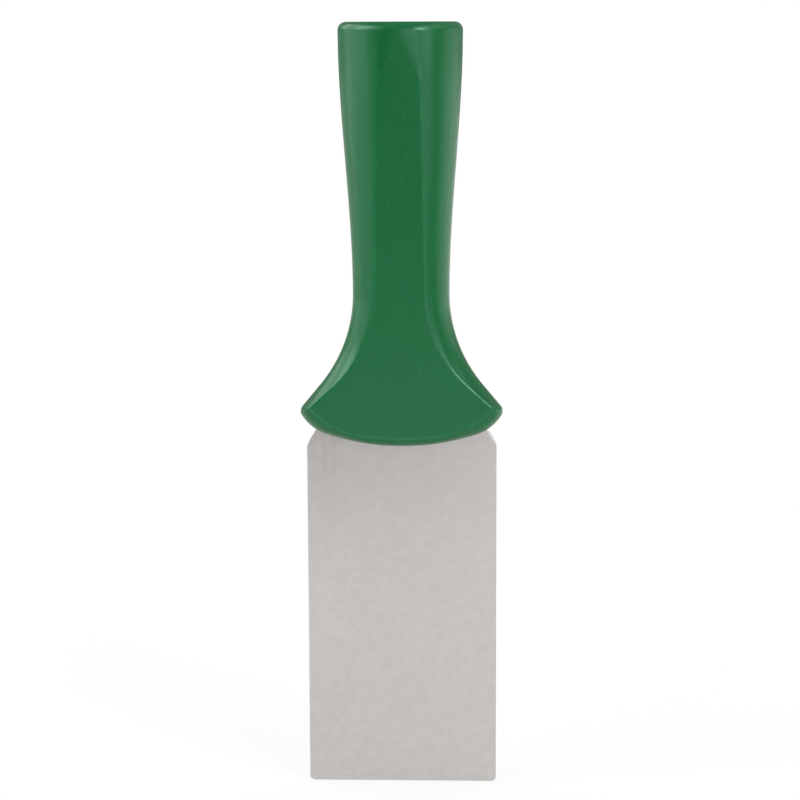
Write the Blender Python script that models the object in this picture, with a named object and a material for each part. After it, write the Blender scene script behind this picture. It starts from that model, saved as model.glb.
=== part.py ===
"""Hand scraper: a moulded plastic handle with a threaded pole socket, and a flat steel blade.

Units are metres and +Z is up. The scraper stands on its working edge: the origin is the middle of
that edge, +X runs to the right along it, the front looks to -Y, and the round end is at the top.
"""

import math

import bmesh
import bpy
from mathutils import Vector

# Lengths up the tool, from the working edge to the round end
blade_reach = 0.09295
tip_lift = 0.0089
grip_length = 0.0627
collar_length = 0.008

# Between pieces, and past the surfaces that a cutter goes through
clearance = 0.0003
overrun = 0.002

# Handle: round end and grip
end_diameter = 0.03254
end_draft = math.radians(0.9)
end_rounding = 0.0021
flat_run_out = 0.006
flat_cut_depth = 0.00105
grip_end_draft = math.radians(1.4)

# Handle: outline of the neck and head
neck_width = 0.02544
flare_angle = math.radians(39.7)
flare_straight_length = 0.0077
head_width = 0.05372
tip_radius = 0.002
tip_foot_inset = 0.00326
lower_edge_radius = 0.062

# Handle: front and back flats
flat_neck_width = 0.0141
flat_flare_angle = math.radians(46.4)
flat_straight_length = 0.0097
flat_tip_margin = 0.0025
flat_lower_lift = 0.0006
flat_lower_radius = 0.0345
head_edge_thickness = 0.0118
head_face_slope = math.radians(4.6)
head_face_length = 0.034

# Handle: threaded pole socket
socket_bore = 0.0194
socket_depth = 0.031
rim_land_width = 0.0021
lead_in_angle = math.radians(47)
thread_pitch = 0.005
thread_depth = 0.0013
thread_root_width = 0.0019
thread_mouth_width = 0.0030
socket_ledge_width = 0.0011
core_length = 0.021
core_draft = math.radians(7)

# Blade
blade_width = 0.0505
blade_thickness = 0.0015
blade_corner_radius = 0.0014
edge_break = 0.00022
ground_height = 0.0008
ground_depth = 0.0005
shoulder_drop = 0.00065
shoulder_radius = 0.003
shoulder_length = 0.009
root_inset = 0.0035
root_length = 0.0125
stem_side_cover = 0.0051
stem_length = 0.0135
stem_corner_radius = 0.002
shoulder_hole_diameter = 0.0064
shoulder_hole_spacing = 0.0216
shoulder_hole_lift = 0.0103
stem_hole_diameter = 0.0064
stem_hole_lift = 0.0265

# Steps of the curved surfaces
side_steps = 7
flat_steps = 4
grip_rows = 8
flare_rows = 9
straight_rows = 2
tip_rows = 5
lower_rows = 7
rounding_steps = 3
round_sides = 36
corner_steps = 4
shoulder_steps = 2
thread_fade_turn_share = 0.25


def clear_scene():
    """Remove every object that the file opened with."""
    for item in list(bpy.data.objects):
        bpy.data.objects.remove(item, do_unlink=True)


def make_material(name, color, roughness, metallic):
    """Return a Principled BSDF material."""
    material = bpy.data.materials.new(name)
    material.use_nodes = True
    shader = material.node_tree.nodes["Principled BSDF"]
    shader.inputs["Base Color"].default_value = (*color, 1.0)
    shader.inputs["Roughness"].default_value = roughness
    shader.inputs["Metallic"].default_value = metallic
    return material


def add_object(name, mesh_data, material=None):
    """Turn a bmesh into an object whose faces point outwards."""
    bmesh.ops.recalc_face_normals(mesh_data, faces=mesh_data.faces)
    mesh = bpy.data.meshes.new(name)
    mesh_data.to_mesh(mesh)
    mesh_data.free()
    item = bpy.data.objects.new(name, mesh)
    bpy.context.collection.objects.link(item)
    if material:
        mesh.materials.append(material)
    return item


def shade_round(item, crease_angle=math.radians(25)):
    """Shade an object smooth, with its creases kept sharp."""
    item.data.shade_smooth()
    item.data.set_sharp_from_angle(angle=crease_angle)


def as_cutter(item):
    """Mark an object as a tool that only shapes another one."""
    item.hide_render = True
    item.display_type = "WIRE"
    return item


def cut(item, cutter):
    """Subtract a cutter from an object."""
    boolean = item.modifiers.new("cut " + cutter.name, "BOOLEAN")
    boolean.operation = "DIFFERENCE"
    boolean.solver = "EXACT"
    boolean.object = cutter


def ease(start, end, start_slope, end_slope, span, share):
    """Return the value of a cubic between two values with given slopes at both ends."""
    squared = share * share
    cubed = squared * share
    return (
        (2 * cubed - 3 * squared + 1) * start
        + (cubed - 2 * squared + share) * span * start_slope
        + (3 * squared - 2 * cubed) * end
        + (cubed - squared) * span * end_slope
    )


def arc_points(center, radius, start, end, steps):
    """Return points along an arc, both ends included."""
    points = []
    for index in range(steps + 1):
        angle = start + (end - start) * index / steps
        points.append(center + radius * Vector((math.cos(angle), math.sin(angle))))
    return points


class VertexPool:
    """Makes vertices in a bmesh, and gives back the same one for the same place."""

    def __init__(self, mesh_data):
        self.mesh_data = mesh_data
        self.known = {}

    def vertex(self, place):
        key = tuple(round(value, 7) for value in place)
        if key not in self.known:
            self.known[key] = self.mesh_data.verts.new(place)
        return self.known[key]

    def face(self, places):
        """Make a face, leaving out corners that fall together."""
        corners = []
        for place in places:
            corner = self.vertex(place)
            if corner not in corners:
                corners.append(corner)
        if len(corners) > 2 and not self.mesh_data.faces.get(corners):
            self.mesh_data.faces.new(corners)


# Handle sizes worked out from the named ones

end_radius = end_diameter / 2
collar_radius = end_radius - (collar_length - end_rounding) * math.tan(end_draft)
neck_half_width = neck_width / 2
head_half_width = head_width / 2
head_half_thickness = head_edge_thickness / 2


def grip_half_width(rise):
    """Return the half-width of the grip's outline at a height above the neck."""
    end_slope = math.tan(grip_end_draft)
    return ease(neck_half_width, collar_radius, 0, end_slope, grip_length, rise / grip_length)


def lower_edge(across, base, radius):
    """Return the height of a lower edge, an arc whose lowest point is in the middle."""
    return base + radius - math.sqrt(radius**2 - across**2)


def flare(rim, neck_half, angle, straight_length):
    """Return points down a flare, an upright arc from the neck that ends in a straight run to the rim."""
    arc_gain = rim.x - straight_length * math.sin(angle) - neck_half
    radius = arc_gain / (1 - math.cos(angle))
    arc_end = rim + straight_length * Vector((-math.sin(angle), math.cos(angle)))
    start = Vector((neck_half, arc_end.y + radius * math.sin(angle)))
    points = []
    for index in range(flare_rows + 1):
        turn = angle * index / flare_rows
        points.append(start + radius * Vector((1 - math.cos(turn), -math.sin(turn))))
    for index in range(1, straight_rows + 1):
        points.append(arc_end.lerp(rim, index / straight_rows))
    return points


tip_center = Vector((head_half_width - tip_radius, blade_reach + tip_lift))
tip_start = tip_center + tip_radius * Vector((math.cos(flare_angle), math.sin(flare_angle)))
foot_across = head_half_width - tip_foot_inset
tip_foot = Vector((foot_across, lower_edge(foot_across, blade_reach, lower_edge_radius)))
flat_lower_height = blade_reach + flat_lower_lift
corner_across = head_half_width - flat_tip_margin
flat_corner = Vector((corner_across, lower_edge(corner_across, flat_lower_height, flat_lower_radius)))

rim_flare = flare(tip_start, neck_half_width, flare_angle, flare_straight_length)
flat_flare = flare(flat_corner, flat_neck_width / 2, flat_flare_angle, flat_straight_length)
neck_height = rim_flare[0].y
collar_height = neck_height + grip_length
total_length = collar_height + collar_length
flat_end_height = collar_height - flat_run_out
face_bend_height = blade_reach + head_face_length
flat_end_radius = grip_half_width(grip_length - flat_run_out)
flat_end_depth = flat_end_radius - flat_cut_depth
flat_end_half_width = math.sqrt(flat_end_radius**2 - flat_end_depth**2)


def flat_depth(height):
    """Return how far the front flat stands in front of the middle plane at a height."""
    plane = head_half_thickness + (height - blade_reach) * math.tan(head_face_slope)
    if height <= face_bend_height:
        return plane
    rise = (flat_end_height - blade_reach) * math.tan(head_face_slope)
    bend = flat_end_depth - head_half_thickness - rise
    share = (height - face_bend_height) / (flat_end_height - face_bend_height)
    return plane + bend * share**2


def tip_arc():
    """Return points round the tip, to where the straight run to its foot starts."""
    to_center = tip_center - tip_foot
    run_angle = math.atan2(to_center.y, to_center.x) - math.asin(tip_radius / to_center.length)
    return arc_points(tip_center, tip_radius, flare_angle, run_angle - math.pi / 2, tip_rows)


def grip_row(share):
    """Return the rim and flat points at a share of the way from the flat's end to the neck."""
    rim_height = flat_end_height + (neck_height - flat_end_height) * share
    flat_height = flat_end_height + (flat_flare[0].y - flat_end_height) * share
    face = flat_end_half_width + (flat_flare[0].x - flat_end_half_width) * share
    return Vector((grip_half_width(rim_height - neck_height), rim_height)), Vector((face, flat_height))


def outline_rows():
    """Return pairs of points (middle plane, front flat) down the right side to the lower middle.

    Each point is (distance from the axis, height).
    """
    rows = [grip_row(index / grip_rows) for index in range(grip_rows)]
    rows += list(zip(rim_flare, flat_flare))
    rows += [(rim, flat_corner) for rim in tip_arc()[1:]]
    for index in range(lower_rows + 1):
        share = 1 - index / lower_rows
        rim_across = tip_foot.x * share
        face_across = flat_corner.x * share
        rim_height = lower_edge(rim_across, blade_reach, lower_edge_radius)
        face_height = lower_edge(face_across, flat_lower_height, flat_lower_radius)
        rows.append((Vector((rim_across, rim_height)), Vector((face_across, face_height))))
    return rows


def side_arc(rim, face, depth):
    """Return points from the front flat round the side to the back flat.

    The side is a circular arc that crosses the middle plane squarely.
    """
    offset = rim - face
    reach = offset.length
    across = offset.normalized()
    radius = (reach**2 + depth**2) / (2 * reach)
    opening = math.atan2(depth, radius - reach)
    points = []
    for index in range(-side_steps, side_steps + 1):
        angle = opening * index / side_steps
        place = rim - across * radius * (1 - math.cos(angle))
        points.append(Vector((place.x, radius * math.sin(angle), place.y)))
    return points


def mirrored(point):
    """Return a point's mirror image on the other side of the tool."""
    return Vector((-point.x, point.y, point.z))


def reversed_depth(point):
    """Return a point's image on the other face of the tool."""
    return Vector((point.x, -point.y, point.z))


def flat_row(corner):
    """Return points straight across the front flat, from its left edge to its right corner."""
    left = mirrored(corner)
    return [left.lerp(corner, index / flat_steps) for index in range(flat_steps + 1)]


def round_ring(radius, height):
    """Return the side and front points of a full circle, divided like the rows below it."""
    crease = radius * flat_end_half_width / flat_end_radius
    depth = math.sqrt(radius**2 - crease**2)
    side = side_arc(Vector((radius, height)), Vector((crease, height)), depth)
    front = []
    for point in flat_row(side[0]):
        front.append(Vector((point.x, -math.sqrt(radius**2 - point.x**2), height)))
    return side, front


def handle_rows():
    """Return the side and front points of each row, from the top rim to the lower middle."""
    rows = []
    top_radius = end_radius - end_rounding
    for index in range(rounding_steps, -1, -1):
        angle = math.pi / 2 * index / rounding_steps
        radius = top_radius + end_rounding * math.cos(angle)
        height = total_length - end_rounding + end_rounding * math.sin(angle)
        rows.append(round_ring(radius, height))
    rows.append(round_ring(collar_radius, collar_height))
    for rim, face in outline_rows():
        side = side_arc(rim, face, flat_depth(face.y))
        rows.append((side, flat_row(side[0])))
    return rows


def make_handle_body(material):
    """Build the handle's outer form, still without its socket and pocket."""
    rows = handle_rows()
    mesh_data = bmesh.new()
    pool = VertexPool(mesh_data)
    for (upper_side, upper_front), (lower_side, lower_front) in zip(rows, rows[1:]):
        for step in range(2 * side_steps):
            corners = [upper_side[step], upper_side[step + 1], lower_side[step + 1], lower_side[step]]
            pool.face(corners)
            pool.face([mirrored(corner) for corner in corners])
        for step in range(flat_steps):
            corners = [upper_front[step], upper_front[step + 1], lower_front[step + 1], lower_front[step]]
            pool.face(corners)
            pool.face([reversed_depth(corner) for corner in corners])
    side, front = rows[0]
    back = [reversed_depth(point) for point in reversed(front)]
    pool.face(front + side + back + [mirrored(point) for point in reversed(side)])
    bmesh.ops.triangulate(mesh_data, faces=mesh_data.faces)
    handle = add_object("handle", mesh_data, material)
    shade_round(handle)
    return handle


def turned(name, profile):
    """Build a closed solid by turning (radius, height) points round the Z axis."""
    mesh_data = bmesh.new()
    rings = []
    for radius, height in profile:
        ring = []
        for side in range(round_sides):
            angle = 2 * math.pi * side / round_sides
            place = (radius * math.cos(angle), radius * math.sin(angle), height)
            ring.append(mesh_data.verts.new(place))
        rings.append(ring)
    for lower, upper in zip(rings, rings[1:]):
        for side in range(round_sides):
            after = (side + 1) % round_sides
            mesh_data.faces.new([lower[side], lower[after], upper[after], upper[side]])
    mesh_data.faces.new(rings[0])
    mesh_data.faces.new(rings[-1])
    return add_object(name, mesh_data)


def make_socket_cutter():
    """Build the smooth part of the pole socket and the core below it."""
    bore_radius = socket_bore / 2
    lead_in_radius = end_radius - end_rounding - rim_land_width
    lead_in_depth = (lead_in_radius - bore_radius) / math.tan(lead_in_angle)
    core_top = total_length - socket_depth
    core_radius = bore_radius - socket_ledge_width
    core_foot_radius = core_radius - core_length * math.tan(core_draft)
    profile = [
        (core_foot_radius, core_top - core_length),
        (core_radius, core_top),
        (bore_radius, core_top + socket_ledge_width),
        (bore_radius, total_length - lead_in_depth),
        (lead_in_radius + overrun * math.tan(lead_in_angle), total_length + overrun),
    ]
    return as_cutter(turned("socket_cutter", profile))


def make_thread_cutter():
    """Build the helical groove of the socket's thread, one body swept round the bore."""
    bore_radius = socket_bore / 2
    start = total_length - socket_depth + thread_pitch
    turns = (socket_depth - thread_pitch + overrun) / thread_pitch
    steps = math.ceil(turns * round_sides)
    fade_steps = round_sides * thread_fade_turn_share
    sink = thread_depth / 2
    mesh_data = bmesh.new()
    rings = []
    for step in range(steps + 1):
        angle = 2 * math.pi * step / round_sides
        height = start + thread_pitch * step / round_sides
        fade = min(step / fade_steps, 1)
        inner = bore_radius - sink
        outer = inner + (sink / 2) * (1 - fade) + (sink + thread_depth) * fade
        mouth = thread_mouth_width / 2 + (thread_mouth_width - thread_root_width) / 2 * sink / thread_depth
        root = thread_root_width / 2
        section = [(inner, -mouth), (outer, -root), (outer, root), (inner, mouth)]
        ring = []
        for radius, rise in section:
            place = (radius * math.cos(angle), radius * math.sin(angle), height + rise)
            ring.append(mesh_data.verts.new(place))
        rings.append(ring)
    for first, second in zip(rings, rings[1:]):
        for index in range(4):
            after = (index + 1) % 4
            mesh_data.faces.new([first[index], first[after], second[after], second[index]])
    mesh_data.faces.new(rings[0])
    mesh_data.faces.new(rings[-1])
    bmesh.ops.triangulate(mesh_data, faces=mesh_data.faces)
    return as_cutter(add_object("thread_cutter", mesh_data))


def blade_outline():
    """Return the blade's outline as (x, z) points, from the working edge round to the stem.

    The tang's root lies inside the blade's side and inside the corner of the head's flat.
    """
    half = blade_width / 2
    root_across = min(half, corner_across) - root_inset
    root = Vector((root_across, blade_reach - shoulder_drop + shoulder_length))
    shoulder = Vector((half, blade_reach - shoulder_drop))
    lean = math.atan2(half - root.x, root.y - shoulder.y)
    shoulder_start = shoulder.y - shoulder_radius * math.tan(lean / 2)
    stem_base = root.y + root_length
    stem_top = stem_base + stem_length
    stem_half = neck_half_width - stem_side_cover
    corner = Vector((half - blade_corner_radius, blade_corner_radius))
    right = arc_points(corner, blade_corner_radius, -math.pi / 2, 0, corner_steps)
    shoulder_center = Vector((half - shoulder_radius, shoulder_start))
    right += arc_points(shoulder_center, shoulder_radius, 0, lean, shoulder_steps)
    right.append(root)
    right.append(Vector((stem_half, stem_base)))
    stem_corner = Vector((stem_half - stem_corner_radius, stem_top - stem_corner_radius))
    right += arc_points(stem_corner, stem_corner_radius, 0, math.pi / 2, corner_steps)
    left = [Vector((-point.x, point.y)) for point in reversed(right)]
    return right + left


def offset_outline(points, distance):
    """Return an outline whose sides are moved outwards by a distance."""
    count = len(points)
    moved = []
    for index, point in enumerate(points):
        before = (point - points[index - 1]).normalized()
        after = (points[(index + 1) % count] - point).normalized()
        shift = Vector((before.y, -before.x)) * distance
        turned_shift = Vector((after.y, -after.x)) * distance
        turn = before.cross(after)
        along = (turned_shift - shift).cross(after) / turn if turn else 0
        moved.append(point + shift + before * along)
    return moved


def stack_outlines(name, layers, material=None, divided_at=None):
    """Build a closed plate through outlines given as lists of (x, y, z) points.

    An end face is divided from the point at this index to its mirror image, if there is one.
    """
    mesh_data = bmesh.new()
    rings = []
    for layer in layers:
        rings.append([mesh_data.verts.new(point) for point in layer])
    count = len(rings[0])
    for lower, upper in zip(rings, rings[1:]):
        for index in range(count):
            after = (index + 1) % count
            mesh_data.faces.new([lower[index], lower[after], upper[after], upper[index]])
    for ring in (rings[0], rings[-1]):
        mesh_data.faces.new(ring)
        if divided_at is not None:
            bmesh.ops.connect_verts(mesh_data, verts=[ring[divided_at], ring[-1 - divided_at]])
    return add_object(name, mesh_data, material)


def hole_places():
    """Return the blade's holes as (x, z, diameter)."""
    shoulder_hole_height = blade_reach + shoulder_hole_lift
    stem_hole_height = blade_reach + stem_hole_lift
    return [
        (-shoulder_hole_spacing / 2, shoulder_hole_height, shoulder_hole_diameter),
        (shoulder_hole_spacing / 2, shoulder_hole_height, shoulder_hole_diameter),
        (0, stem_hole_height, stem_hole_diameter),
    ]


def make_pin(name, across, height, diameter):
    """Build a round pin through the blade's plane, used as a cutter."""
    mesh_data = bmesh.new()
    bmesh.ops.create_cone(
        mesh_data,
        cap_ends=True,
        segments=round_sides // 2,
        radius1=diameter / 2,
        radius2=diameter / 2,
        depth=blade_thickness + 2 * clearance + 2 * overrun,
    )
    pin = add_object(name, mesh_data)
    pin.rotation_euler.x = math.pi / 2
    pin.location = (across, 0, height)
    return as_cutter(pin)


def make_blade(material):
    """Build the blade with its broken edges, ground working edge and key holes."""
    outline = blade_outline()
    half = blade_thickness / 2
    front = []
    for point in offset_outline(outline, -edge_break):
        front.append(Vector((point.x, -half, max(point.y, ground_height))))
    front_rim = []
    for point in outline:
        ground_share = max(1 - point.y / ground_height, 0)
        depth = edge_break + (ground_depth - edge_break) * ground_share
        front_rim.append(Vector((point.x, depth - half, point.y)))
    back_rim = [reversed_depth(point) for point in front_rim]
    back = [reversed_depth(point) for point in front]
    shoulder_index = corner_steps + 1
    blade = stack_outlines("blade", [front, front_rim, back_rim, back], material, shoulder_index)
    for index, (across, height, diameter) in enumerate(hole_places()):
        cut(blade, make_pin("hole_cutter_" + str(index + 1), across, height, diameter))
    shade_round(blade)
    return blade


def make_pocket_cutter():
    """Build the space round the tang, with the pegs that pass through its holes left out."""
    outline = blade_outline()
    wide = offset_outline(outline, clearance)
    half = blade_thickness / 2 + clearance
    front = [Vector((point.x, -half, point.y)) for point in wide]
    back = [reversed_depth(point) for point in front]
    pocket = stack_outlines("pocket_cutter", [front, back])
    for index, (across, height, diameter) in enumerate(hole_places()):
        peg_diameter = diameter - 2 * clearance
        cut(pocket, make_pin("peg_" + str(index + 1), across, height, peg_diameter))
    return as_cutter(pocket)


def main():
    """Build the handle and the blade."""
    clear_scene()
    green_plastic = make_material("green_plastic", (0.024, 0.138, 0.053), 0.35, 0.0)
    stainless_steel = make_material("stainless_steel", (0.56, 0.54, 0.52), 0.32, 1.0)
    handle = make_handle_body(green_plastic)
    cut(handle, make_socket_cutter())
    cut(handle, make_thread_cutter())
    cut(handle, make_pocket_cutter())
    make_blade(stainless_steel)


main()
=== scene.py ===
"""Looks of the hand scraper: a moulded green handle with a threaded pole socket, and a satin steel blade.

Everything is in metres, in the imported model's frame: the scraper stands on its working edge at the
origin, its front looks to -Y and its round end is at the top of +Z.
"""

import logging
import math
from collections.abc import Callable
from dataclasses import dataclass, field
from enum import Enum

import bmesh
import bpy
from mathutils import Matrix, Vector


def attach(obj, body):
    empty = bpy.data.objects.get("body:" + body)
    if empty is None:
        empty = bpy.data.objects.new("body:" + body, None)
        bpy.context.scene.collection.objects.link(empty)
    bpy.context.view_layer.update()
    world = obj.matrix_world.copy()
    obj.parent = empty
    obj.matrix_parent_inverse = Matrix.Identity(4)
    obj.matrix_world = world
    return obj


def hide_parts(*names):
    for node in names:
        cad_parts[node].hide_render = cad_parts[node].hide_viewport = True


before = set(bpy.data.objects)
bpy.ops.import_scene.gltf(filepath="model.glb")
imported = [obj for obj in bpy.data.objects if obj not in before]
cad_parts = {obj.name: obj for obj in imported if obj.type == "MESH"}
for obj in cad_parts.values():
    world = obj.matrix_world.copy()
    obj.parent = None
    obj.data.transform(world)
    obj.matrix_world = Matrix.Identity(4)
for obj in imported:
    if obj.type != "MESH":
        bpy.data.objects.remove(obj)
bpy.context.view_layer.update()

logging.basicConfig(level=logging.INFO, format="%(message)s")
log = logging.getLogger("hand_scraper")

ROOT_BODY = "root"
QUARTER_TURN = math.pi / 2
WHITE = (1.0, 1.0, 1.0, 1.0)

# Points of a plate's layer, with the wear of each and how much of each is ground.
Layer = tuple[list[Vector], list[float], list[float]]


class Slot(Enum):
    """Material slots of the record."""

    PLASTIC = "green_plastic"
    STEEL = "stainless_steel"


class Mask(Enum):
    """Point attributes that the meshes carry for their finishes."""

    # Rubbed edges; on the handle this mask also lightens the creases and the round end as a painted
    # highlight.
    WORN_EDGE = "worn_edge"
    GROUND = "ground_face"


def ease(start: float, end: float, start_slope: float, end_slope: float, span: float, share: float) -> float:
    """Return the value of a cubic between two values with given slopes at both ends.

    Args:
        start: Value at share 0.
        end: Value at share 1.
        start_slope: Slope at share 0, over the length of the span.
        end_slope: Slope at share 1, over the length of the span.
        span: Length that the shares divide.
        share: Place along the span, from 0 to 1.

    Returns:
        The value at that share.
    """
    squared = share * share
    cubed = squared * share
    return (
        (2 * cubed - 3 * squared + 1) * start
        + (cubed - 2 * squared + share) * span * start_slope
        + (3 * squared - 2 * cubed) * end
        + (cubed - squared) * span * end_slope
    )


def smooth_step(share: float) -> float:
    """Return a share from 0 to 1 with soft ends."""
    held = min(max(share, 0.0), 1.0)
    return held * held * (3 - 2 * held)


def bezier(start: Vector, control: Vector, end: Vector, steps: int) -> list[Vector]:
    """Return points along a quadratic curve, both ends included.

    Args:
        start: First point.
        control: Point where the tangents of both ends meet.
        end: Last point.
        steps: Number of stretches.

    Returns:
        The points, one more than the stretches.
    """
    points = []
    for index in range(steps + 1):
        share = index / steps
        rest = 1 - share
        points.append(rest * rest * start + 2 * rest * share * control + share * share * end)
    return points


def arc_points(center: Vector, radius: float, start: float, end: float, steps: int) -> list[Vector]:
    """Return points along an arc, both ends included.

    Args:
        center: Middle of the arc, in two dimensions.
        radius: Radius of the arc.
        start: First angle, in radians.
        end: Last angle, in radians.
        steps: Number of stretches.

    Returns:
        The points, one more than the stretches.
    """
    points = []
    for index in range(steps + 1):
        angle = start + (end - start) * index / steps
        points.append(center + radius * Vector((math.cos(angle), math.sin(angle))))
    return points


def offset_outline(points: list[Vector], distance: float) -> list[Vector]:
    """Return a closed outline whose sides are moved outwards by a distance.

    Args:
        points: Corners of the outline, anticlockwise.
        distance: How far each side moves out, or in where it is negative.

    Returns:
        The moved corners, in the same order.
    """
    count = len(points)
    moved = []
    for index, point in enumerate(points):
        before = (point - points[index - 1]).normalized()
        after = (points[(index + 1) % count] - point).normalized()
        shift = Vector((before.y, -before.x)) * distance
        turned_shift = Vector((after.y, -after.x)) * distance
        turn = before.cross(after)
        along = (turned_shift - shift).cross(after) / turn if turn else 0
        moved.append(point + shift + before * along)
    return moved


def link_object(name: str, data: bpy.types.ID) -> bpy.types.Object:
    """Make an object of the given data and link it to the scene.

    Args:
        name: Name of the new object.
        data: Its mesh, lamp or camera.

    Returns:
        The object.
    """
    item = bpy.data.objects.new(name, data)
    bpy.context.scene.collection.objects.link(item)
    return item


def mesh_object(name: str, mesh_data: bmesh.types.BMesh) -> bpy.types.Object:
    """Turn a finished mesh into an object, and free what it was made with.

    Args:
        name: Name of the new object.
        mesh_data: The mesh in the making.

    Returns:
        The object, linked to the scene.
    """
    mesh = bpy.data.meshes.new(name)
    mesh_data.to_mesh(mesh)
    mesh_data.free()
    return link_object(name, mesh)


class Skin:
    """A mesh in the making, which joins points that fall together and keeps a mask for each."""

    same_place_digits = 7

    def __init__(self) -> None:
        """Start an empty mesh with its mask layers."""
        self.mesh_data = bmesh.new()
        self.layers = {mask: self.mesh_data.verts.layers.float.new(mask.value) for mask in Mask}
        self.known: dict[tuple[float, ...], bmesh.types.BMVert] = {}

    def vertex(self, place: Vector, **masks: float) -> bmesh.types.BMVert:
        """Return the vertex at a place, made if there is none yet.

        Args:
            place: Where the vertex lies.
            **masks: Mask values by the lower-case name of the mask.

        Returns:
            The vertex at that place.
        """
        key = tuple(round(value, self.same_place_digits) for value in place)
        if key not in self.known:
            self.known[key] = self.mesh_data.verts.new(place)
        corner = self.known[key]
        for name, value in masks.items():
            corner[self.layers[Mask[name.upper()]]] = value
        return corner

    def face(self, corners: list[bmesh.types.BMVert]) -> None:
        """Make a face, leaving out corners that fall together.

        Args:
            corners: Corners in order round the face.
        """
        kept: list[bmesh.types.BMVert] = []
        for corner in corners:
            if corner not in kept:
                kept.append(corner)
        if len(kept) > 2 and not self.mesh_data.faces.get(kept):
            self.mesh_data.faces.new(kept)

    def ring_wall(self, rings: list[list[bmesh.types.BMVert]]) -> None:
        """Join closed rings of vertices by walls, each ring to the next.

        Args:
            rings: Rings with the same number of vertices.
        """
        for upper, lower in zip(rings, rings[1:]):
            for index in range(len(upper)):
                after = (index + 1) % len(upper)
                self.face([upper[index], upper[after], lower[after], lower[index]])

    def finish(self, name: str) -> bpy.types.Object:
        """Return the mesh as a named object whose faces point outwards."""
        bmesh.ops.recalc_face_normals(self.mesh_data, faces=self.mesh_data.faces)
        return mesh_object(name, self.mesh_data)


def cut_away(item: bpy.types.Object, cutters: list[bpy.types.Object]) -> None:
    """Subtract cutters from an object for good, and remove them.

    Args:
        item: Object that is cut.
        cutters: Closed objects to take away.
    """
    for cutter in cutters:
        boolean = item.modifiers.new("cut", "BOOLEAN")
        boolean.operation = "DIFFERENCE"
        boolean.solver = "EXACT"
        boolean.object = cutter
    bpy.context.view_layer.update()
    evaluated = item.evaluated_get(bpy.context.evaluated_depsgraph_get())
    cut_mesh = bpy.data.meshes.new_from_object(evaluated)
    item.modifiers.clear()
    old_mesh = item.data
    item.data = cut_mesh
    cut_mesh.name = item.name
    bpy.data.meshes.remove(old_mesh)
    for cutter in cutters:
        bpy.data.meshes.remove(cutter.data)


def shade_crisp(item: bpy.types.Object, crease_angle: float = math.radians(50)) -> None:
    """Shade an object smooth, with its wide faces kept even and its steep creases sharp.

    Args:
        item: Object to shade.
        crease_angle: Angle between faces above which an edge stays sharp.
    """
    item.data.shade_smooth()
    item.data.set_sharp_from_angle(angle=crease_angle)
    even = item.modifiers.new("even_faces", "WEIGHTED_NORMAL")
    even.keep_sharp = True


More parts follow.
